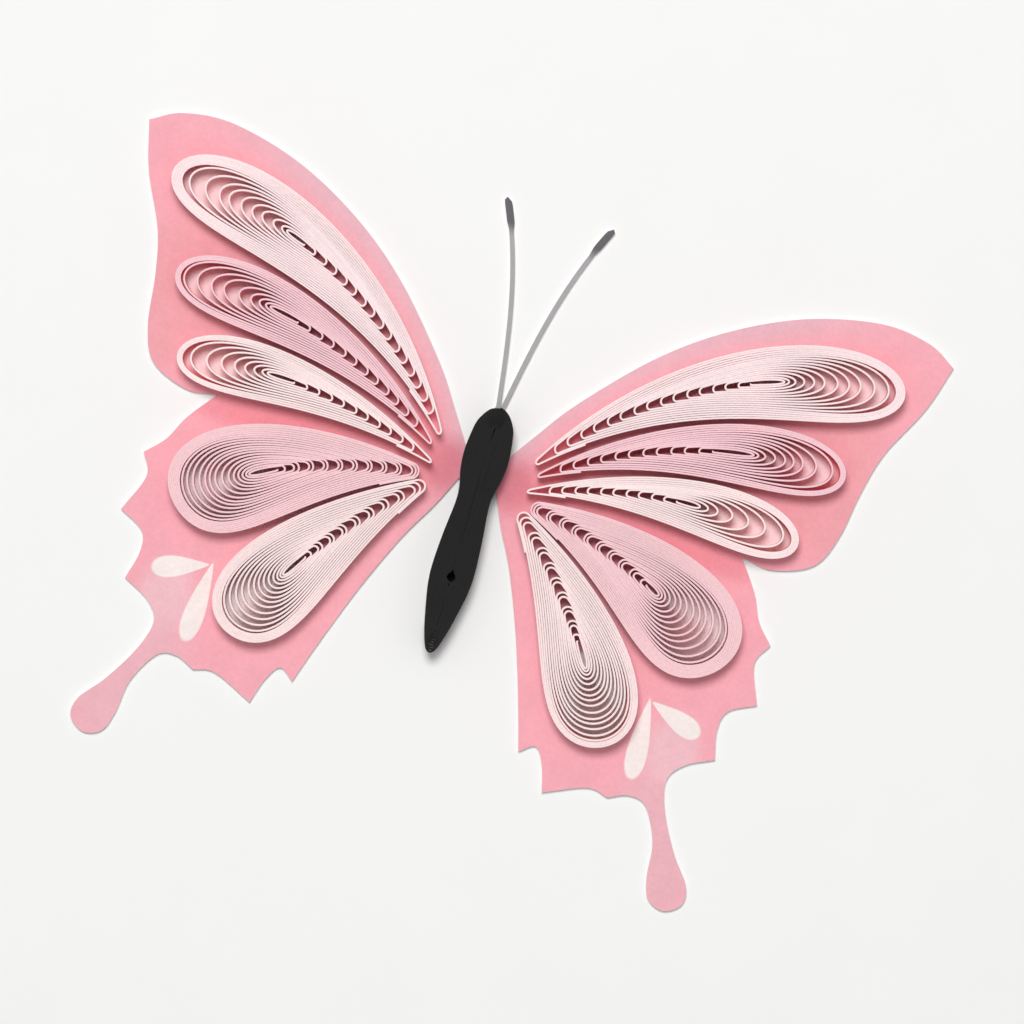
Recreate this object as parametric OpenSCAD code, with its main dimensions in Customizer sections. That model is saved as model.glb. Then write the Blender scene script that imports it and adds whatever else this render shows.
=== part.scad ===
// Quilled paper butterfly: a printed card cut to the four wings and the two
// antennae, with ten pinched paper coils and one black body coil standing on it.
// Millimetres. Z = 0 is the back of the card, Y points to the head, X to the
// right wings, and Y = 0 is the root line where the wings meet the body.

/* [Wing card] */
// From the side of the body out to the tip of a forewing
wing_reach = 24.7; // [15:0.1:40]
// From the root line up to the top of a forewing
fore_rise = 17.3; // [10:0.1:28]
// From the root line down to the end of a tail
hind_drop = 21.5; // [12:0.1:35]
// Thickness of the printed card
card_t = 0.3; // [0.15:0.05:1]

/* [Paper strips] */
// Width of the strips, which is the height of every coil
strip_w = 1.5; // [1:0.1:6]
// Thickness of the strip paper
strip_t = 0.19; // [0.1:0.01:0.4]
// Slack left between two turns along the flank of a coil
turn_gap = 0.1; // [0.05:0.01:0.3]
// Clear space kept between neighbouring coils
coil_gap = 0.15; // [0.05:0.01:0.5]

/* [Body] */
// Width of the body across the thorax
body_w = 2.85; // [1.5:0.05:5]
// From the root line up to the top of the head
body_head = 5.35; // [3:0.05:9]
// From the root line down to the end of the tail
body_tail = 10.45; // [6:0.05:16]
// How far the end of the tail sits off the middle line
body_lean = 0.25; // [0:0.05:0.6]
// How far the card under the body keeps inside the body's edge
spine_inset = 0.3; // [0.1:0.05:0.5]

/* [Antennae] */
// From the top of the head up to the tip of an antenna
antenna_len = 12.65; // [6:0.05:20]
// From the middle line out to the tip of an antenna
antenna_spread = 3.45; // [1.5:0.05:8]
// Width of an antenna along its stem
antenna_w = 0.3; // [0.2:0.05:0.8]
// Width of the club at the tip of an antenna
club_w = 0.5; // [0.3:0.05:1.2]
// Length of the club
club_len = 1.9; // [0.8:0.1:4]

/* [Hidden] */

// The wing pattern is drawn 24.8 out from the side of the body, 17.3 up and
// 21.5 down. These three shares stretch it to the sizes that are set above.
out_share = wing_reach / 24.8;
up_share = fore_rise / 17.3;
down_share = hind_drop / 21.5;
flank = body_w / 2;
pitch = strip_t + turn_gap;

// Edges of the right wings from corner to corner, as points on the pattern.
fore_lead = [[-0.3, 2.1], [1.1, 4.2], [3.1, 7], [6.9, 11.1], [10.7, 14], [15.1, 16.2],
    [19.7, 17.3], [22.9, 17], [24.8, 16]];
fore_outer = [[24.8, 16], [23.9, 13], [22.3, 9.7], [21.6, 7], [21.1, 3.8], [20.1, 1.7],
    [17.7, 0.7], [15.7, 0.9]];
hind_shoulder = [[15.7, 0.9], [17.1, -1], [17.9, -2.6], [19, -3.8]];
hind_scallop_1 = [[19, -3.8], [18.4, -5.2], [19.3, -7.6]];
hind_scallop_2 = [[19.3, -7.6], [17.7, -8.5], [17.4, -9.8], [17.8, -11.6]];
tail_edge = [[17.8, -11.6], [16.1, -12.5], [15.3, -13.7], [15.8, -15.6], [17.1, -17.9],
    [18.4, -19.6], [18.5, -20.8], [17.5, -21.5], [16.4, -21.1], [15.9, -19.8],
    [15.6, -17.6], [14.5, -15.6], [13.3, -15.3], [12.1, -15.8]];
hind_scallop_3 = [[12.1, -15.8], [10.7, -15.6], [8.1, -16.7]];
hind_scallop_4 = [[8.1, -16.7], [7.6, -15.1], [6.9, -14.1], [5.95, -14.7]];
hind_inner = [[5.95, -14.7], [5.1, -12], [3.7, -8], [2.1, -4.2], [0.7, -1.6], [-0.3, 0.6]];

// The five coils of a right wing pair: pinched tip, round end, room across,
// bend from tip to end in degrees, how round the pinched tip is, the eye's share
// of the way from tip to end, and how far it lies left of the middle line.
fore_upper = [[1.65, 2.65], [22.45, 13.3], 5, -50, 0.06, 0.69, 0.3];
fore_middle = [[2, 1.95], [20.4, 7.35], 4.2, -40, 0.06, 0.71, 0.2];
fore_lower = [[1.65, 0.85], [18.8, 2.45], 3.85, -33, 0.06, 0.66, 0.15];
hind_upper = [[2.2, 0.05], [16.45, -6.15], 6.75, -33, 0.12, 0.78, -0.1];
hind_lower = [[1.65, -0.5], [10.75, -13], 6, -25, 0.12, 0.74, 0.3];

// Half width of the body from the tail (0) to the head (1), as a share of its
// widest place: narrow tail, full abdomen, slight waist, thorax, round head.
body_shape = [[0, 0], [0.017, 0.2], [0.06, 0.39], [0.12, 0.58], [0.22, 0.82], [0.28, 0.92],
    [0.35, 0.945], [0.47, 0.87], [0.6, 0.73], [0.66, 0.77], [0.725, 0.93], [0.79, 1],
    [0.85, 0.96], [0.915, 0.85], [0.95, 0.67], [0.98, 0.4], [1, 0]];

// A point of the pattern, on the wing.
function place(p) = [flank + p.x * out_share, p.y * (p.y > 0 ? up_share : down_share)];

// A smooth curve through points, three steps to a span, without its last point.
function smooth(p) = let (n = len(p) - 1) [for (i = [0 : n - 1], t = [0, 1/3, 2/3])
    let (a = i > 0 ? p[i - 1] : 2 * p[0] - p[1], b = p[i], c = p[i + 1],
        d = i < n - 1 ? p[i + 2] : 2 * p[n] - p[n - 1])
    0.5 * (2 * b + (c - a) * t + (2 * a - 5 * b + 4 * c - d) * t * t
        + (3 * b - a - 3 * c + d) * t * t * t)];

function wing_edge() = [for (e = [fore_lead, fore_outer, hind_shoulder, hind_scallop_1,
    hind_scallop_2, tail_edge, hind_scallop_3, hind_scallop_4, hind_inner], p = smooth(e)) place(p)];

// Height of a place on the body, and half the width of the card under it.
function body_y(v) = -body_tail + v * (body_head + body_tail);
function spine_x(v) = max(antenna_w / 2, flank * lookup(v, body_shape) - spine_inset);

// Middle line and half width of an antenna, from the head (0) to the tip (1).
function antenna_x(t) = antenna_w / 2 + (antenna_spread - antenna_w / 2) * (0.58 * t + 0.42 * t * t * t);
function antenna_half(t) = let (c = (t - 1) * antenna_len / club_len + 1)
    c <= 0 ? antenna_w / 2 : antenna_w / 2 + (club_w - antenna_w) / 2 * min(1, 4 * c);
function antenna_edge(side, t) = [antenna_x(t) + side * antenna_half(t), body_head + t * antenna_len];

// Right half of the card from the notch between the antennae to the tail end.
function card_half() = let (club = 1 - club_len / antenna_len, q = (1 - club) / 4,
        up = [0, 0.2, 0.4, 0.6, 0.75, club, club + q, 1 - q / 2],
        down = [1 - q / 2, club + q, club, 0.75, 0.6, 0.4, 0.2, 0])
    concat([for (t = up) antenna_edge(-1, t)], [[antenna_x(1), body_head + antenna_len]],
        [for (t = down) antenna_edge(1, t)],
        [for (v = [0.95, 0.9, 0.86]) [spine_x(v), body_y(v)]], wing_edge(),
        [for (v = [0.68, 0.6, 0.5, 0.4, 0.3, 0.2, 0.1]) [spine_x(v), body_y(v)]]);

function mirrored(p) = [for (i = [len(p) - 1 : -1 : 0]) [-p[i].x, p[i].y]];

// Half width of a drop from its pinched tip (0) to its round end (1).
function drop(v, pinch) = sqrt(v * (v + 2 * pinch) * (1 - pow(v, 4.5)));
function drop_peak(pinch) = max([for (i = [1 : 39]) drop(i / 40, pinch)]);

// Places round one turn, closer together at the round end: share of the length
// from the pinched tip (0) to the round end (1), and the side of the middle line.
turn_steps = 16;
function turn_side(i) = (i % turn_steps) * 2 < turn_steps ? 1 : -1;
function turn_v(i) = let (h = turn_steps / 2, j = i % turn_steps)
    pow(sin(90 * pow((j < h ? j : turn_steps - j) / h, 0.8)), 2);

// A point s along and h beside an arc of length l that bends by a degrees.
function bent(s, h, l, a) = let (r = l / (a * PI / 180), w = a * s / l)
    [(r - h) * sin(w), r - (r - h) * cos(w)];

// A coil as its chord angle, arc length, half width, bend, tip rounding, and its
// eye's place along and beside the middle line.
function coil_sizes(c) = let (tip = place(c[0]), end = place(c[1]), d = end - tip,
        width = c[2] * min(out_share, c[1].y > 0 ? up_share : down_share) - coil_gap)
    [atan2(d.y, d.x), norm(d) * (c[3] * PI / 360) / sin(c[3] / 2), width / 2, c[3], c[4], c[5], c[6]];

// A point of the turn that lies k turns in from the outside of a wing coil.
function coil_point(z, k, i) = let (size = 1 - k * pitch / z[2], v = turn_v(i))
    bent(z[1] * (z[5] * (1 - size) + size * v),
        turn_side(i) * z[2] * size * drop(v, z[4]) / drop_peak(z[4]) + z[6] * (1 - size),
        z[1], z[3]);

// A point of the turn that lies k turns in from the outside of the body coil. The
// places round a turn go from the tail to the head and back, closer at both ends.
body_steps = 24;
function body_point(k, i) = let (v = pow(sin(180 * i / body_steps), 2),
        side = sin(360 * i / body_steps) < 0 ? 1 : -1,
        low = -body_tail + 3 * pitch * k, high = body_head - 1.2 * pitch * k)
    [side * (flank - pitch * k) * lookup(v, body_shape), low + v * (high - low)];

// How far apart two turns of a coil lie: one pitch on its flanks, more round its end.
function turn_space(z, v) = pitch * (1 + ((1 - z[5]) * z[1] / z[2] - 1) * pow(v, 8));

// The slack between the turns: one long spiral from the outside to the eye.
function coil_slack(z, turns) = let (last = turns * turn_steps) concat(
    [for (i = [0 : last]) coil_point(z, i / turn_steps + strip_t / turn_space(z, turn_v(i)), i)],
    [for (i = [last : -1 : 0]) coil_point(z, i / turn_steps + 1, i)]);
function body_slack(turns) = let (last = turns * body_steps) concat(
    [for (i = [0 : last]) body_point(i / body_steps + strip_t / pitch, i)],
    [for (i = [last : -1 : 0]) body_point(i / body_steps + 1, i)]);

module wing_coil(c) {
    z = coil_sizes(c);
    turns = floor(z[2] / pitch - 1.3);
    tip = place(c[0]);
    translate([tip.x, tip.y, card_t]) rotate([0, 0, z[0] - z[3] / 2]) difference() {
        linear_extrude(strip_w) polygon([for (i = [0 : turn_steps - 1]) coil_point(z, 0, i)]);
        translate([0, 0, -1]) linear_extrude(strip_w + 2)
            polygon(coil_slack(z, turns));
    }
}

// One sheet of card, printed pink on the wings and grey on the antennae.
module wing_card() {
    color([0.96, 0.66, 0.71]) linear_extrude(card_t)
        polygon(concat(card_half(), mirrored(card_half())));
}

module right_fore_upper_coil() {
    color([0.98, 0.87, 0.88]) wing_coil(fore_upper);
}

module right_fore_middle_coil() {
    color([0.97, 0.79, 0.82]) wing_coil(fore_middle);
}

module right_fore_lower_coil() {
    color([0.98, 0.88, 0.88]) wing_coil(fore_lower);
}

module right_hind_upper_coil() {
    color([0.96, 0.77, 0.79]) wing_coil(hind_upper);
}

module right_hind_lower_coil() {
    color([0.98, 0.86, 0.86]) wing_coil(hind_lower);
}

module left_fore_upper_coil() {
    mirror([1, 0, 0]) right_fore_upper_coil();
}

module left_fore_middle_coil() {
    mirror([1, 0, 0]) right_fore_middle_coil();
}

module left_fore_lower_coil() {
    mirror([1, 0, 0]) right_fore_lower_coil();
}

module left_hind_upper_coil() {
    mirror([1, 0, 0]) right_hind_upper_coil();
}

module left_hind_lower_coil() {
    mirror([1, 0, 0]) right_hind_lower_coil();
}

// One black strip coiled tight and squeezed long, leaning a little to the right.
module body() {
    turns = floor(flank / pitch - 1.3);
    lean = atan2(body_lean, body_head + body_tail);
    color([0.11, 0.1, 0.1]) translate([0, body_head, card_t]) rotate([0, 0, lean])
        translate([0, -body_head, 0]) difference() {
            linear_extrude(strip_w) polygon([for (i = [0 : body_steps - 1]) body_point(0, i)]);
            translate([0, 0, -1]) linear_extrude(strip_w + 2)
                polygon(body_slack(turns));
        }
}

wing_card();
right_fore_upper_coil();
right_fore_middle_coil();
right_fore_lower_coil();
right_hind_upper_coil();
right_hind_lower_coil();
left_fore_upper_coil();
left_fore_middle_coil();
left_fore_lower_coil();
left_hind_upper_coil();
left_hind_lower_coil();
body();
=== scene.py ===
import math

import bpy
import numpy as np
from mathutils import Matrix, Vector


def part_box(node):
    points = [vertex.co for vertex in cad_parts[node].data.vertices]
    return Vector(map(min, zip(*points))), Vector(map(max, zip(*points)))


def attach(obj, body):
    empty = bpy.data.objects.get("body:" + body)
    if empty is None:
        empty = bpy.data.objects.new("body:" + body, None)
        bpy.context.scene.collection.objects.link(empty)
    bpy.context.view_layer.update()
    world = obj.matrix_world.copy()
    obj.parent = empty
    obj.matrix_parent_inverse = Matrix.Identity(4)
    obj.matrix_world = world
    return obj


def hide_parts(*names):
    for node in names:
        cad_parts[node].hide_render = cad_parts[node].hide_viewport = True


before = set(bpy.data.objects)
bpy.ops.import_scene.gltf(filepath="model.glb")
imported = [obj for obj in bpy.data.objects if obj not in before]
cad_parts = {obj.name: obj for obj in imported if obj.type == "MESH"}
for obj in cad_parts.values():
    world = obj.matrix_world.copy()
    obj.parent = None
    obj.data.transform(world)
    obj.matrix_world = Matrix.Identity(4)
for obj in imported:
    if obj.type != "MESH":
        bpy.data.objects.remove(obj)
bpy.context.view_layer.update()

# Wing card: a sheet of white card, printed pink on its front and cut out with a knife along the
# edge of the four wings and the two antennae. A narrow strip of it under the body joins both sides.
# Sizes are in millimetres, as in the part's source, and turn into metres when a mesh is made.
MM = 0.001
card_right, card_front, card_top = np.array(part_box("wing_card")[1]) / MM
flank = 1.425  # half the body's width
head_y = 5.35
tail_y = -10.45
drawn_reach = 24.8  # how far the wing edges below reach out from the body
out_share = (card_right - flank) / drawn_reach
spine_inset = 0.3
spine_above = (0.95, 0.86)  # where the card's edge runs under the body, from tail (0) to head (1)
spine_below = (0.68, 0.1)
antenna_w = 0.3
antenna_spread = 3.45
club_w = 0.5
club_len = 1.9
club_swell = 0.25  # shares of the club's length in which it grows wide and closes round
club_round = 0.2
wing_edges = [
    [[-0.3, 2.1], [1.1, 4.2], [3.1, 7], [6.9, 11.1], [10.7, 14], [15.1, 16.2], [19.7, 17.3],
     [22.9, 17], [24.8, 16]],
    [[24.8, 16], [23.9, 13], [22.3, 9.7], [21.6, 7], [21.1, 3.8], [20.1, 1.7], [17.7, 0.7],
     [15.7, 0.9]],
    [[15.7, 0.9], [17.1, -1], [17.9, -2.6], [19, -3.8]],
    [[19, -3.8], [18.4, -5.2], [19.3, -7.6]],
    [[19.3, -7.6], [17.7, -8.5], [17.4, -9.8], [17.8, -11.6]],
    [[17.8, -11.6], [16.1, -12.5], [15.3, -13.7], [15.8, -15.6], [17.1, -17.9], [18.4, -19.6],
     [18.5, -20.8], [17.5, -21.5], [16.4, -21.1], [15.9, -19.8], [15.6, -17.6], [14.5, -15.6],
     [13.3, -15.3], [12.1, -15.8]],
    [[12.1, -15.8], [10.7, -15.6], [8.1, -16.7]],
    [[8.1, -16.7], [7.6, -15.1], [6.9, -14.1], [5.95, -14.7]],
    [[5.95, -14.7], [5.1, -12], [3.7, -8], [2.1, -4.2], [0.7, -1.6], [-0.3, 0.6]],
]
coil_gap = 0.15
# Where the coils lie on the right wing: tip, round end, room across, and bend in degrees
coil_places = {
    "fore_upper_coil": ((1.65, 2.65), (22.45, 13.3), 5.0, -50),
    "fore_middle_coil": ((2.0, 1.95), (20.4, 7.35), 4.2, -40),
    "fore_lower_coil": ((1.65, 0.85), (18.8, 2.45), 3.85, -33),
    "hind_upper_coil": ((2.2, 0.05), (16.45, -6.15), 6.75, -33),
    "hind_lower_coil": ((1.65, -0.5), (10.75, -13.0), 6.0, -25),
}
# The body's outline: the share of the way from tail to head, and of its full half width
body_shape = np.array(
    [[0, 0], [0.017, 0.2], [0.06, 0.39], [0.12, 0.58], [0.22, 0.82], [0.28, 0.92], [0.35, 0.945],
     [0.47, 0.87], [0.6, 0.73], [0.66, 0.77], [0.725, 0.93], [0.79, 1], [0.85, 0.96], [0.915, 0.85],
     [0.95, 0.67], [0.98, 0.4], [1, 0]]
)


def smooth_through(points, steps):
    """A smooth curve through points: on each span a cubic whose slope at a point is half the way
    from the point before to the point after. The last point is left off."""
    p = np.array(points, dtype=float)
    p = np.vstack([2 * p[0] - p[1], p, 2 * p[-1] - p[-2]])
    t = np.arange(steps)[None, :, None] / steps
    a, b, c, d = p[:-3, None], p[1:-2, None], p[2:-1, None], p[3:, None]
    curve = 2 * b + (c - a) * t + (2 * a - 5 * b + 4 * c - d) * t**2 + (3 * b - a - 3 * c + d) * t**3
    return 0.5 * curve.reshape(-1, 2)


def antenna_edges(steps):
    """Both edges of the right antenna from the head to its tip. The middle line swings out with
    0.58 t + 0.42 t cubed, and the half width grows into the club and closes in a half ellipse."""
    t = np.linspace(0, 1, steps)
    length = card_front - head_y
    middle = antenna_w / 2 + (antenna_spread - antenna_w / 2) * (0.58 * t + 0.42 * t**3)
    club = np.clip((t - 1) * length / club_len + 1, 0, 1)
    half = antenna_w / 2 + (club_w - antenna_w) / 2 * np.minimum(1, club / club_swell)
    half = half * np.sqrt(1 - np.clip((club - 1 + club_round) / club_round, 0, 1) ** 2)
    y = head_y + t * length
    return np.stack([middle - half, y], 1), np.stack([middle + half, y], 1)


def spine_edge(v):
    """The card's edge under the body, from the tail (0) to the head (1): the body's own half width
    less an inset, and never narrower than an antenna."""
    half = np.maximum(antenna_w / 2, flank * np.interp(v, *body_shape.T) - spine_inset)
    return np.stack([half, tail_y + v * (head_y - tail_y)], 1)


def card_outline():
    """The whole outline of the card, against the clock: the right half from the notch between the
    antennae round to the tail, and its mirror image."""
    inner, outer = antenna_edges(60)
    wings = np.vstack([smooth_through(edge, 12) for edge in wing_edges])
    wings = wings * [out_share, 1] + [flank, 0]
    above = spine_edge(np.linspace(*spine_above, 6))
    below = spine_edge(np.linspace(*spine_below, 24))
    right = np.vstack([inner, outer[-2::-1], above, wings, below])
    left = right[1:] * [-1, 1]
    return np.vstack([left, right[::-1]])


def coil_lie(tip, end, room, bend):
    """How a coil lies on the right wing: its tip, the way it starts out, its bend, the length of its
    middle line, which is an arc, and half its width."""
    tip = np.array(tip) * [out_share, 1] + [flank, 0]
    chord = np.array(end) * [out_share, 1] + [flank, 0] - tip
    bend = math.radians(bend)
    start = math.atan2(chord[1], chord[0]) - bend / 2
    length = np.hypot(*chord) * (bend / 2) / math.sin(bend / 2)
    return tip, start, bend, length, (room * out_share - coil_gap) / 2


def plate_mesh(name, outline, low, high):
    """A flat plate: the outline as one face below and one above, with a wall of quads between."""
    count = len(outline)
    ring = np.arange(count)
    after = np.roll(ring, -1)
    points = np.vstack([np.c_[outline, np.full(count, low)], np.c_[outline, np.full(count, high)]])
    walls = np.stack([ring, after, after + count, ring + count], 1).tolist()
    mesh = bpy.data.meshes.new(name)
    faces = [(ring + count).tolist(), ring[::-1].tolist()] + walls
    mesh.from_pydata((points * MM).tolist(), [], faces)
    mesh.update()
    return mesh


def ink(red, green, blue):
    """A colour read as screen values from 0 to 255, as the light values that shaders take."""
    share = np.array([red, green, blue]) / 255
    light = np.where(share <= 0.04045, share / 12.92, ((share + 0.055) / 1.055) ** 2.4)
    return (*light.tolist(), 1.0)


def new_finish(name):
    """An empty node material with a Principled shader that is matt, as paper is."""
    finish = bpy.data.materials.new(name)
    finish.use_nodes = True
    tree = finish.node_tree
    shader = tree.nodes["Principled BSDF"]
    shader.inputs["Roughness"].default_value = 0.8
    shader.inputs["Specular IOR Level"].default_value = 0.25
    return finish, tree, shader


def add_node(tree, kind, options, inputs):
    """One node: options are its own settings, inputs are values to set or sockets to link."""
    node = tree.nodes.new(kind)
    for name, value in options.items():
        setattr(node, name, value)
    for name, value in inputs.items():
        if isinstance(value, bpy.types.NodeSocket):
            tree.links.new(value, node.inputs[name])
        else:
            node.inputs[name].default_value = value
    return node


def ramp(tree, value, start, stop, first=0.0, last=1.0):
    """A smooth step from first to last while value goes from start to stop."""
    inputs = {"Value": value, "From Min": start, "From Max": stop, "To Min": first, "To Max": last}
    node = add_node(tree, "ShaderNodeMapRange", {"interpolation_type": "SMOOTHSTEP"}, inputs)
    return node.outputs["Result"]


def sums(tree, operation, first, second=0.0, third=0.0):
    """One step of arithmetic on sockets or numbers."""
    inputs = {0: first, 1: second, 2: third}
    return add_node(tree, "ShaderNodeMath", {"operation": operation}, inputs).outputs[0]


def laid_over(tree, mask, under, over):
    """The colour over where the mask is 1 and the colour under where it is 0."""
    node = add_node(tree, "ShaderNodeMix", {"data_type": "RGBA"}, {0: mask, 6: under, 7: over})
    return node.outputs[2]


def speckled(tree, where, colour, grain, depth):
    """A colour made a little lighter and darker in blotches of the given size in millimetres."""
    inputs = {"Vector": where, "Scale": 1 / (grain * MM), "Detail": 4.0, "Roughness": 0.6}
    noise = add_node(tree, "ShaderNodeTexNoise", {}, inputs).outputs["Fac"]
    value = ramp(tree, noise, 0.3, 0.7, 1 - depth, 1 + depth)
    return add_node(tree, "ShaderNodeHueSaturation", {}, {"Value": value, "Color": colour}).outputs[0]


def paper_tooth(tree, shader, where, grain, depth):
    """A fine uneven surface: noise of the given grain raised by depth, both in millimetres."""
    inputs = {"Vector": where, "Scale": 1 / (grain * MM), "Detail": 5.0, "Roughness": 0.65}
    noise = add_node(tree, "ShaderNodeTexNoise", {}, inputs).outputs["Fac"]
    inputs = {"Strength": 0.6, "Distance": depth * MM, "Height": noise}
    bump = add_node(tree, "ShaderNodeBump", {}, inputs)
    tree.links.new(bump.outputs["Normal"], shader.inputs["Normal"])


def spot(tree, where, centre, radii, turn, inside, outside):
    """A mask that is 1 inside an ellipse and 0 outside it. Inside and outside are shares of its
    radii, between which the mask fades."""
    options = {"vector_type": "TEXTURE"}
    place = (centre[0] * MM, centre[1] * MM, 0.0)
    inputs = {"Vector": where, "Location": place, "Rotation": (0.0, 0.0, math.radians(turn)),
              "Scale": (radii[0] * MM, radii[1] * MM, 1.0)}
    local = add_node(tree, "ShaderNodeMapping", options, inputs).outputs[0]
    reach = add_node(tree, "ShaderNodeVectorMath", {"operation": "LENGTH"}, {0: local}).outputs["Value"]
    return ramp(tree, reach, inside, outside, 1.0, 0.0)


def pale_drop(tree, where, narrow, full, width):
    """A crisp mask in the shape of a drop: an ellipse between its two ends whose cross axis shrinks
    towards the narrow end, from its belly by its taper."""
    belly = 0.66
    taper = 0.42
    drop_edge = (0.86, 1.08)
    narrow, full = np.array(narrow), np.array(full)
    centre = (narrow + full) / 2
    along = full - narrow
    half = np.hypot(*along) / 2
    inputs = {"Vector": where, "Location": (centre[0] * MM, centre[1] * MM, 0.0),
              "Rotation": (0.0, 0.0, math.atan2(along[1], along[0])),
              "Scale": (half * MM, width / 2 * MM, 1.0)}
    local = add_node(tree, "ShaderNodeMapping", {"vector_type": "TEXTURE"}, inputs).outputs[0]
    axes = add_node(tree, "ShaderNodeSeparateXYZ", {}, {0: local}).outputs
    room = sums(tree, "MULTIPLY_ADD", axes[0], taper, belly)
    across = sums(tree, "DIVIDE", axes[1], room)
    reach = sums(tree, "ADD", sums(tree, "MULTIPLY", axes[0], axes[0]),
                 sums(tree, "MULTIPLY", across, across))
    return ramp(tree, reach, *drop_edge, 1.0, 0.0)


def painted_light_cell(tree, where, tip, start, bend, length, half):
    """A soft oval mask under the round end of a coil, for light painted on the card in the gaps of its
    swirl. About the centre of the coil's bend, the angle gives the way from tip to end and the
    distance gives the way to the side. The oval's middle and its reach are shares of the coil's
    length, and its side is a share of its half width."""
    cell_middle = 0.79
    cell_reach = 0.19
    cell_side = 0.72
    cell_edge = (0.75, 1.0)
    radius = length / bend
    centre = tip + radius * np.array([-math.sin(start), math.cos(start)])
    inputs = {"Vector": where, "Location": (centre[0] * MM, centre[1] * MM, 0.0),
              "Rotation": (0.0, 0.0, start)}
    local = add_node(tree, "ShaderNodeMapping", {"vector_type": "TEXTURE"}, inputs).outputs[0]
    axes = add_node(tree, "ShaderNodeSeparateXYZ", {}, {0: local}).outputs
    angle = sums(tree, "ARCTAN2", axes[0], axes[1])
    along = sums(tree, "MULTIPLY_ADD", angle, -1 / (bend * cell_reach), -cell_middle / cell_reach)
    reach = add_node(tree, "ShaderNodeVectorMath", {"operation": "LENGTH"}, {0: local}).outputs["Value"]
    side = cell_side * half * MM
    beside = sums(tree, "MULTIPLY_ADD", reach, 1 / side, radius * MM / side)
    oval = sums(tree, "ADD", sums(tree, "MULTIPLY", along, along),
                sums(tree, "MULTIPLY", beside, beside))
    return ramp(tree, oval, *cell_edge, 1.0, 0.0)


wing_print, tree, shader = new_finish("wing_print")
where = add_node(tree, "ShaderNodeTexCoord", {}, {}).outputs["Object"]
axes = add_node(tree, "ShaderNodeSeparateXYZ", {}, {0: where}).outputs
out_x = sums(tree, "ABSOLUTE", axes[0])
both_sides = add_node(tree, "ShaderNodeCombineXYZ", {}, {0: out_x, 1: axes[1]}).outputs[0]
print_colour = ink(249, 174, 185)
# A mauve band along the front edge of the forewing, outside a circle, that fades to the wing's tip
lead_centre = (26.5, -11)
lead_radius = 28.8
lead_inner = 0.925
lead_start = 14
lead_stop = 23
lead_band = spot(tree, both_sides, lead_centre, (lead_radius, lead_radius), 0, 1.0, lead_inner)
lead_fade = ramp(tree, out_x, lead_start * MM, lead_stop * MM, 1.0, 0.25)
print_colour = laid_over(tree, sums(tree, "MULTIPLY", lead_band, lead_fade), print_colour,
                         ink(234, 186, 196))
# Soft ovals, in turn: outer forewing, fold between the wings, root, tail, about the drops, inner edge
for centre, radii, turn, inside, outside, colour in (
    ((21.2, 6.5), (4.6, 7.4), 8, 0.35, 1.0, ink(242, 167, 175)),
    # The fold band is partly print and partly painted shade, cast by the forewing's lower coil onto the
    # hindwing
    ((12.5, 0.4), (9.5, 1.5), -3, 0.3, 1.0, ink(243, 152, 163)),
    # The root oval is partly print and partly painted shade, where the coils' tips and the body crowd
    # together
    ((2.2, 0.9), (2.2, 2.6), 0, 0.25, 1.0, ink(226, 137, 150)),
    ((17.2, -17.6), (4.4, 6.4), 10, 0.45, 1.0, ink(240, 182, 191)),
    ((16.4, -11.9), (2.4, 3.0), 0, 0.4, 1.0, ink(245, 192, 200)),
    ((3.5, -6.6), (1.3, 7.0), 21, 0.3, 1.0, ink(226, 152, 163)),
):
    print_colour = laid_over(tree, spot(tree, both_sides, centre, radii, turn, inside, outside),
                             print_colour, colour)
# Two pale drops on each hindwing
for narrow, full, width in (((14.2, -9.1), (14.5, -14.3), 1.75), ((14.4, -9.3), (17.8, -10.5), 1.8)):
    print_colour = laid_over(tree, pale_drop(tree, both_sides, narrow, full, width),
                             print_colour, ink(251, 239, 235))
# Pale cells under the round ends of the coils, painted light on the card in the gaps of their swirls, and
# black under the body
for kind, place in coil_places.items():
    painted_light_colour = ink(255, 250, 250) if kind.startswith("hind") else ink(251, 226, 228)
    print_colour = laid_over(tree, painted_light_cell(tree, both_sides, *coil_lie(*place)), print_colour,
                             painted_light_colour)
# Black under the body, a little darker than the body's own black paper: print, and painted shade in the
# gaps between the body's turns
for centre, radii in (((0.05, 2.2), (1.3, 3.2)), ((0.15, -5.0), (1.2, 5.2))):
    under_body = spot(tree, where, centre, radii, 0, 0.97, 1.0)
    print_colour = laid_over(tree, under_body, print_colour, ink(16, 15, 16))
# Grey antennae, which lie in a field between two leaning lines, with darker clubs
field_lean = 0.1
field_half = 2.1
field_start = 5
club_fade = (15.6, 16.6)
antenna_side = sums(tree, "MULTIPLY_ADD", axes[1], field_lean, field_half * MM)
antenna_mask = sums(tree, "MULTIPLY", sums(tree, "LESS_THAN", out_x, antenna_side),
                    sums(tree, "GREATER_THAN", axes[1], field_start * MM))
club_mask = ramp(tree, axes[1], club_fade[0] * MM, club_fade[1] * MM)
antenna_colour = laid_over(tree, club_mask, ink(172, 170, 172), ink(104, 102, 106))
print_colour = laid_over(tree, antenna_mask, print_colour, antenna_colour)
print_colour = speckled(tree, where, print_colour, 1.6, 0.025)
print_colour = speckled(tree, where, print_colour, 0.22, 0.03)
tree.links.new(print_colour, shader.inputs["Base Color"])
paper_tooth(tree, shader, where, 0.12, 0.012)

card_core, tree, shader = new_finish("card_core")
where = add_node(tree, "ShaderNodeTexCoord", {}, {}).outputs["Object"]
tree.links.new(speckled(tree, where, ink(244, 239, 236), 0.3, 0.03), shader.inputs["Base Color"])
paper_tooth(tree, shader, where, 0.1, 0.02)

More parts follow.
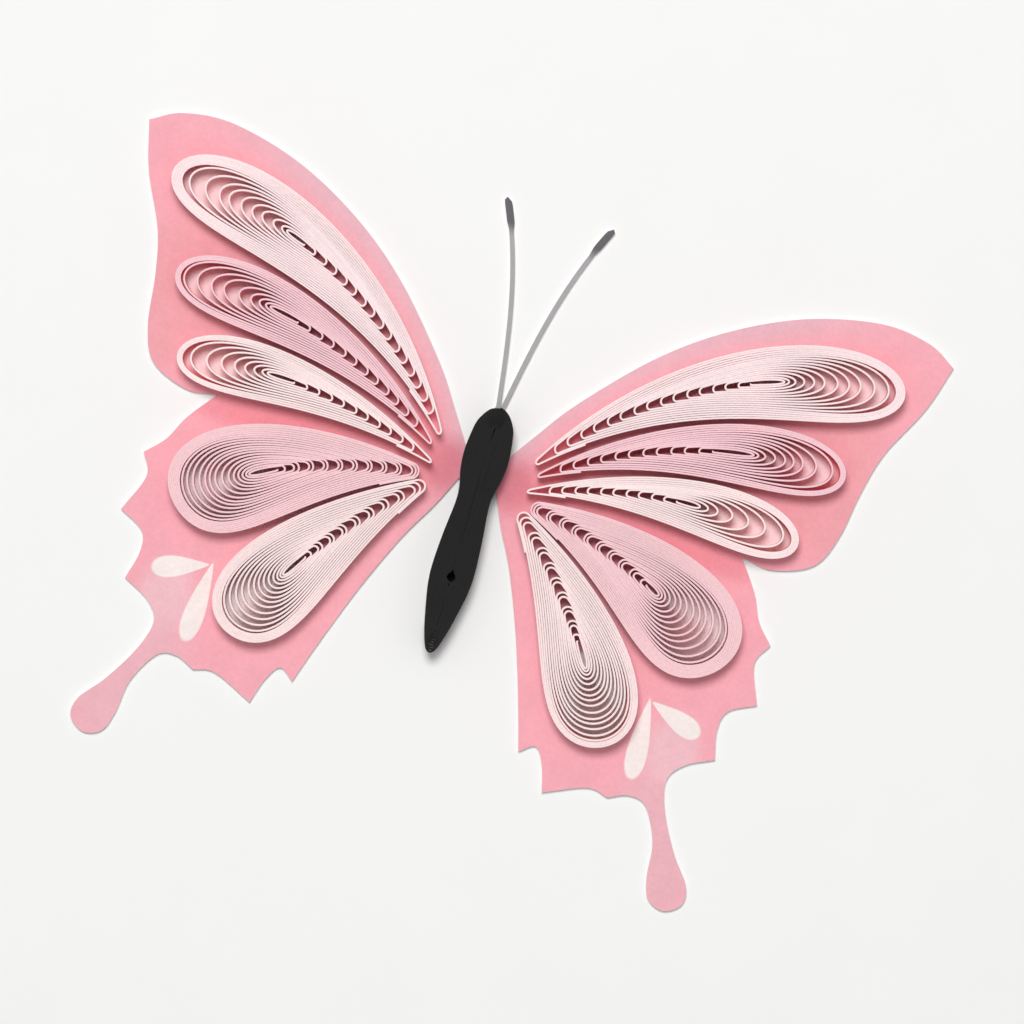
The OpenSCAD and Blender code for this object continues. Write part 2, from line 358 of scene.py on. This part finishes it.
card_line = card_outline()
wing_card = bpy.data.objects.new("printed_wing_card", plate_mesh("wing_card", card_line, 0, card_top))
bpy.context.collection.objects.link(wing_card)
wing_card.data.materials.append(card_core)
wing_card.data.materials.append(wing_print)
wing_card.data.polygons[0].material_index = 1
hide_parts("wing_card")
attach(wing_card, "root")

# Wing coils: five paper strips on each side, rolled up on a needle, let loose and pinched at one
# end into a drop. The turns lie close along the flanks, each fold stops short of the one outside
# it, and the round ends spread into a swirl. They stand on edge on the card, glued down.
strip_thick = 0.12
glue_sink = 0.01  # how far a strip's lower edge goes into the glue
edge_dip = 0.06  # how uneven a coil's upper edge is
turn_steps = 84
fold_steps = 9
lap_steps = 15
drop_power = 4.5
drop_peak = 0.637  # about the greatest value of x times sqrt(1 - x to the power 4.5)
swirl_power = 1.6  # how early the turns spread
uneven = 0.45  # how much one step of the swirl differs from the next
closing_power = 10  # how late the folds close
heart_room = 1.2  # half the width of the heart, in last folds
flank_power = 1.6  # how the points of a flank crowd towards its fold
# The folds of each kind of coil: the bluntness of its tip as a share of its length, the radius of
# the first and the last fold, and how much smaller each second fold is
coil_folds = {
    "fore_upper_coil": (0.05, 0.26, 0.08, 0.03),
    "fore_middle_coil": (0.05, 0.24, 0.08, 0.03),
    "fore_lower_coil": (0.05, 0.22, 0.08, 0.03),
    "hind_upper_coil": (0.085, 0.40, 0.09, 0.25),
    "hind_lower_coil": (0.085, 0.38, 0.09, 0.2),
}
# How each coil came out of the hand: its turns, the share of them in the rim, the last fold and the
# heart of the swirl as shares of its length, the heart's place beside the middle line, how the folds
# crowd towards the eye, and the seed of its chances
coil_hands = {
    "right_fore_upper_coil": (16, 0.33, 0.60, 0.68, 0.08, 0.1, 1),
    "right_fore_middle_coil": (12, 0.25, 0.57, 0.69, 0.06, 0.0, 2),
    "right_fore_lower_coil": (11, 0.38, 0.54, 0.61, 0.10, 0.0, 3),
    "right_hind_upper_coil": (20, 0.38, 0.56, 0.61, -0.10, 0.0, 4),
    "right_hind_lower_coil": (18, 0.20, 0.57, 0.67, 0.0, 0.1, 5),
    "left_fore_upper_coil": (16, 0.38, 0.61, 0.66, 0.07, 0.0, 6),
    "left_fore_middle_coil": (12, 0.30, 0.58, 0.67, 0.06, 0.0, 7),
    "left_fore_lower_coil": (11, 0.30, 0.57, 0.66, 0.10, 0.0, 8),
    "left_hind_upper_coil": (20, 0.33, 0.57, 0.67, 0.05, 0.0, 9),
    "left_hind_lower_coil": (18, 0.30, 0.57, 0.67, 0.0, 0.15, 10),
}


def drop_path(length, half, folds, chance, turns, rim, eye, heart, aside, crowd):
    """The middle line of a rolled strip, as distances along the drop and beside its middle line.
    The first turns lie one thickness apart as the rim, and the rest spread to the eye, each by its
    own chance. A turn lies at its width times x times sqrt(1 - x to the power 4.5), where x goes
    from 0 at its apex to 1 at its round end. Near the apex a small arc that touches both flanks is
    the fold. Its crest is set, and the apex follows. The outer end laps past the first fold."""
    blunt, first_fold, last_fold, pair = folds
    step = np.arange(-lap_steps, turns * turn_steps + 1)
    k = np.maximum(step / turn_steps, 0)
    turn = np.arange(turns + 1)
    loose = 1 - (1 - np.clip((turn / turns - rim) / (1 - rim), 0, 1)) ** swirl_power
    loose = np.cumsum(np.diff(loose, prepend=0) * chance.uniform(1 - uneven, 1 + uneven, turns + 1))
    loose = loose / loose[-1]
    packed = strip_thick * (turn + 0.5)
    end = np.interp(k, turn, length - packed - (length * (1 - heart) - packed[-1]) * loose)
    width = np.interp(k, turn, half - packed - (half - packed[-1] - heart_room * last_fold) * loose)
    slope = half / (drop_peak * length * (1 + blunt))
    flare = math.hypot(1, 1 / slope)
    fold = first_fold + (last_fold - first_fold) * (turn / turns) ** closing_power
    fold[0] = (blunt * length - strip_thick / 2 / slope + strip_thick / 2) / (flare - 1)
    share = (turn - 1) / (turns - 1)
    start = (first_fold - fold[0]) * (flare - 1) + strip_thick / slope + strip_thick / 2
    crest = start + (eye * length - start) * share * (1 + crowd * (1 - share))
    crest[0] = strip_thick / 2
    small = pair * (turn > 0) * ((turn + 1) % 2)
    crest = np.interp(k, turn, crest - small * fold * (flare - 1))
    fold = np.interp(k, turn, fold * (1 - small))
    apex = end - (end - crest - fold) / (1 - drop_peak * slope * flare * fold / width)
    lean = np.arctan(width / (drop_peak * (end - apex)))
    touch = fold * np.cos(lean) * drop_peak / width
    step = step % turn_steps
    side = np.where(step <= turn_steps // 2, 1, -1)
    step = np.minimum(step, turn_steps - step)
    angle = (np.pi / 2 - lean) * np.clip(step / fold_steps, 0, 1)
    flank_share = np.clip((step - fold_steps) / (turn_steps / 2 - fold_steps), 0, 1)
    x = touch + (1 - touch) * np.sin(np.pi / 2 * flank_share) ** flank_power
    middle = apex + touch * (end - apex) + fold * np.sin(lean)
    beside = width * x * np.sqrt(np.clip(1 - x**drop_power, 0, 1)) / drop_peak
    along = np.where(step < fold_steps, middle - fold * np.cos(angle), apex + x * (end - apex))
    beside = np.where(step < fold_steps, fold * np.sin(angle), beside)
    return along, side * beside + np.interp(k, turn, aside * loose)


def on_wing(along, beside, tip, start, bend, length):
    """Bends the drop's middle line into an arc that turns by bend, and sets its tip on the wing."""
    radius = length / bend
    turned = bend * along / length
    x = (radius - beside) * np.sin(turned)
    y = radius - (radius - beside) * np.cos(turned)
    return np.stack([tip[0] + x * math.cos(start) - y * math.sin(start),
                     tip[1] + x * math.sin(start) + y * math.cos(start)], 1)


def strip_mesh(name, path, thick, tops, low):
    """A strip stood on edge: a six-sided section with two tiny chamfers on its upper edge, carried
    along the path at right angles to it, with the upper edge at the heights in tops."""
    tangent = np.gradient(path, axis=0)
    tangent /= np.hypot(*tangent.T)[:, None]
    normal = np.stack([-tangent[:, 1], tangent[:, 0]], 1)
    half = np.broadcast_to(thick / 2, len(path))
    chamfer = 0.02
    beside = np.stack([-half, -half, chamfer - half, half - chamfer, half, half], 1)
    ground = np.full(len(path), low)
    points = np.empty((len(path), 6, 3))
    points[..., :2] = path[:, None] + normal[:, None] * beside[..., None]
    points[..., 2] = np.stack([ground, tops - chamfer, tops, tops, tops - chamfer, ground], 1)
    ring = np.arange(6)
    after = np.roll(ring, -1)
    start = np.arange(len(path) - 1)[:, None] * 6
    quads = np.stack([start + ring, start + 6 + ring, start + 6 + after, start + after], -1)
    last = (len(path) - 1) * 6
    faces = quads.reshape(-1, 4).tolist() + [ring.tolist(), (last + ring[::-1]).tolist()]
    mesh = bpy.data.meshes.new(name)
    mesh.from_pydata((points.reshape(-1, 3) * MM).tolist(), [], faces)
    mesh.polygons.foreach_set("use_smooth", np.ones(len(faces), dtype=bool))
    mesh.set_sharp_from_angle(angle=math.radians(35))
    mesh.update()
    return mesh


def strip_paper(name, face, edge, glow):
    """Dyed strip paper: the faces and the cut upper edge have a colour each, both are a little
    blotched, and a share of the light, the glow, goes through the thin sheet to the gaps behind."""
    finish, tree, shader = new_finish(name)
    where = add_node(tree, "ShaderNodeTexCoord", {}, {}).outputs["Object"]
    normal = add_node(tree, "ShaderNodeNewGeometry", {}, {}).outputs["Normal"]
    upright = add_node(tree, "ShaderNodeSeparateXYZ", {}, {0: normal}).outputs[2]
    on_edge = ramp(tree, upright, 0.4, 0.9)
    colour = laid_over(tree, on_edge, face, edge)
    colour = speckled(tree, where, colour, 2.5, 0.02)
    colour = speckled(tree, where, colour, 0.15, 0.04)
    tree.links.new(colour, shader.inputs["Base Color"])
    paper_tooth(tree, shader, where, 0.08, 0.012)
    through = add_node(tree, "ShaderNodeBsdfTranslucent", {}, {"Color": colour})
    share = ramp(tree, on_edge, 0.0, 1.0, glow, 0.0)
    inputs = {0: share, 1: shader.outputs[0], 2: through.outputs[0]}
    both = add_node(tree, "ShaderNodeMixShader", {}, inputs)
    tree.links.new(both.outputs[0], tree.nodes["Material Output"].inputs["Surface"])
    return finish


pink_glow = 0.75
coil_papers = {
    "fore_upper_coil": strip_paper("shell_pink_paper", ink(253, 229, 230), ink(254, 236, 237), pink_glow),
    "fore_middle_coil": strip_paper("rose_pink_paper", ink(248, 202, 209), ink(249, 211, 218), pink_glow),
    "fore_lower_coil": strip_paper("cream_pink_paper", ink(253, 229, 229), ink(255, 238, 237), pink_glow),
    # The two hindwing papers have faces painted paler than their upper edges: painted light on the walls
    # seen down the gaps of their swirls
    "hind_upper_coil": strip_paper("deep_rose_paper", ink(253, 234, 236), ink(249, 209, 214), pink_glow),
    "hind_lower_coil": strip_paper("peach_pink_paper", ink(254, 242, 241), ink(254, 233, 232), pink_glow),
}
for node_name, (turns, *hand, seed) in coil_hands.items():
    side, kind = node_name.split("_", 1)
    *lie, length, half = coil_lie(*coil_places[kind])
    chance = np.random.default_rng(seed)
    along, beside = drop_path(length, half, coil_folds[kind], chance, turns, *hand)
    path = on_wing(along, beside, *lie, length)
    if side == "left":
        path = path * [-1, 1]
    k = np.arange(turns * turn_steps + 1) / turn_steps
    dips = np.interp(k, np.arange(turns * 3 + 1) / 3, chance.uniform(0, edge_dip, turns * 3 + 1))
    dips = np.concatenate([np.full(lap_steps, dips[0]), dips])
    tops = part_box(node_name)[1][2] / MM - dips
    mesh = strip_mesh(node_name, path, strip_thick, tops, card_top - glue_sink)
    coil = bpy.data.objects.new(f"rolled_{node_name}", mesh)
    bpy.context.collection.objects.link(coil)
    coil.data.materials.append(coil_papers[kind])
    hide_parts(node_name)
    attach(coil, "root")

# Body: one black strip coiled tight and squeezed long between the fingers, with a narrow tail, a
# slight waist and a round head. It stands on edge over the strip of card between the wings.
body_turns = 9
body_steps = 252
body_thick = (0.115, 0.14)  # thinnest and thickest
body_dip = 0.08
body_sway = 0.25  # how far the tail lies to the side of the head
body_lean = math.atan2(body_sway, head_y - tail_y)
tail_room = 1.42  # how far the turns step in from the tail and from the head
head_room = 1.28
first_cap = 0.02  # the length of a turn's round end, for the outer turn and what inner ones add
inner_cap = 0.3
inward_share = 0.1  # the share of a turn in which it steps in
slit_half = 0.06
eye_y = -5.6
eye_half_width = 0.26
eye_half_length = 0.33
eye_power = 2.5
eye_low = -5.95  # where the last turn goes round, and where the turns close behind it
closing_y = -5.8
closing_length = 0.3
heart_share = 0.55
body_curve = np.vstack([smooth_through(body_shape, 8), [1, 0]])


def body_path(turns):
    """The middle line of the body strip, which starts at the head, and its thickness, which is
    pressed thinner at the waist. Turn k is the body's outline brought in towards the middle by an
    equal share, stepping in at the head. The last turn goes round the eye, which opens in the
    abdomen, and the turn before it closes behind the eye. The ends close in half ellipses."""
    step = np.arange(-body_steps // 2, (turns + 0.5) * body_steps + 1)
    k = np.maximum(step / body_steps, 0)
    stepped = np.floor(step / body_steps + 0.5)
    stepped = stepped - 1 + np.clip((step / body_steps + 0.5 - stepped) / inward_share, 0, 1)
    low = np.interp(k, [0, turns - 1, turns], [tail_y + strip_thick / 2, tail_y + tail_room, eye_low])
    high = np.interp(k, [0, turns], [head_y - strip_thick / 2, head_y - head_room])
    y = low + np.sin(np.pi * step / body_steps) ** 2 * (high - low)
    side = np.where(step % body_steps < body_steps / 2, -1, 1)
    near = np.minimum(y - low, high - y) / (first_cap + inner_cap * k / (k + 0.5))
    cap = np.sqrt(1 - (1 - np.clip(near, 0, 1)) ** 2)
    half = flank * np.interp((y - tail_y) / (head_y - tail_y), *body_curve.T)
    bulge = np.exp(-(np.abs((y - eye_y) / eye_half_length) ** eye_power))
    eye = np.minimum(slit_half + eye_half_width * bulge, half)
    closed = np.clip((closing_y - y) / closing_length, 0, 1) * (stepped < turns)
    strips = turns + heart_share - closed
    x = side * cap * (half - (half - eye) * (np.maximum(stepped, 0) + 0.5) / strips)
    y = y - head_y
    line = np.stack([x * math.cos(body_lean) - y * math.sin(body_lean),
                     head_y + x * math.sin(body_lean) + y * math.cos(body_lean)], 1)
    return line, np.clip((half - eye) / strips, *body_thick)


path, thick = body_path(body_turns)
chance = np.random.default_rng(11)
k = np.maximum(np.arange(len(path)) - body_steps // 2, 0) / body_steps
dips = np.interp(k, np.arange(body_turns * 3 + 3) / 3, chance.uniform(0, body_dip, body_turns * 3 + 3))
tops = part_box("body")[1][2] / MM - dips
mesh = strip_mesh("body", path, thick, tops, card_top - glue_sink)
body = bpy.data.objects.new("rolled_body", mesh)
bpy.context.collection.objects.link(body)
body.data.materials.append(strip_paper("black_paper", ink(18, 17, 18), ink(24, 23, 24), 0.0))
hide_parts("body")
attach(body, "root")

# Floor: a plain pale sheet under the butterfly, wide enough to fill every view.
floor_half = 1.5
floor_z = -1e-5
floor_mesh = bpy.data.meshes.new("floor")
floor_mesh.from_pydata(
    [(-floor_half, -floor_half, floor_z), (floor_half, -floor_half, floor_z),
     (floor_half, floor_half, floor_z), (-floor_half, floor_half, floor_z)], [], [(0, 1, 2, 3)])
floor = bpy.data.objects.new("floor", floor_mesh)
bpy.context.collection.objects.link(floor)
floor_paper, tree, shader = new_finish("floor_paper")
where = add_node(tree, "ShaderNodeTexCoord", {}, {}).outputs["Object"]
tree.links.new(speckled(tree, where, ink(248, 248, 247), 6, 0.004), shader.inputs["Base Color"])
floor.data.materials.append(floor_paper)

# Light: an even pale sky, and one soft lamp high above the top edge of the picture.
tilt = math.radians(17.2)
picture_right = np.array([math.cos(tilt), math.sin(tilt)])
picture_up = np.array([-math.sin(tilt), math.cos(tilt)])
world = bpy.data.worlds.new("studio")
bpy.context.scene.world = world
world.use_nodes = True
tree = world.node_tree
sky = tree.nodes["Background"]
sky.inputs["Color"].default_value = (1.0, 1.0, 1.0, 1.0)
sky.inputs["Strength"].default_value = 0.38
backdrop = {"Color": (0.93, 0.93, 0.93, 1.0), "Strength": 1.0}
seen = add_node(tree, "ShaderNodeBackground", {}, backdrop)
rays = add_node(tree, "ShaderNodeLightPath", {}, {}).outputs
glossy = sums(tree, "MAXIMUM", rays["Is Camera Ray"], rays["Is Glossy Ray"])
straight = sums(tree, "MAXIMUM", glossy, rays["Is Transmission Ray"])
sky_mix = add_node(tree, "ShaderNodeMixShader", {},
                   {0: straight, 1: sky.outputs[0], 2: seen.outputs[0]})
tree.links.new(sky_mix.outputs[0], tree.nodes["World Output"].inputs["Surface"])
lamp_up = 0.2
lamp_left = 0.03
lamp_height = 0.56
lamp_data = bpy.data.lights.new("window", "AREA")
lamp_data.energy = 2.3
lamp_data.size = 0.2
lamp = bpy.data.objects.new("window", lamp_data)
bpy.context.collection.objects.link(lamp)
lamp.location = (*(picture_up * lamp_up - picture_right * lamp_left), lamp_height)
lamp.rotation_mode = "QUATERNION"
lamp.rotation_quaternion = (-lamp.location).to_track_quat("-Z", "Y")

# Camera: straight above the butterfly, turned so that the head leans to the right as in the photo.
camera_data = bpy.data.cameras.new("camera")
camera = bpy.data.objects.new("camera", camera_data)
bpy.context.collection.objects.link(camera)
across = card_line @ picture_right
upward = card_line @ picture_up
middle = (picture_right * (across.max() + across.min())
          + picture_up * (upward.max() + upward.min())) / 2
camera_height = 0.5
picture_margin = 1.16
picture_width = max(np.ptp(across), np.ptp(upward)) * picture_margin
camera_data.lens = camera_data.sensor_width * camera_height / (picture_width * MM)
camera.location = (*(middle * MM), camera_height)
camera.rotation_euler = (0.0, 0.0, tilt)
bpy.context.scene.camera = camera
bpy.context.scene.view_settings.view_transform = "Standard"
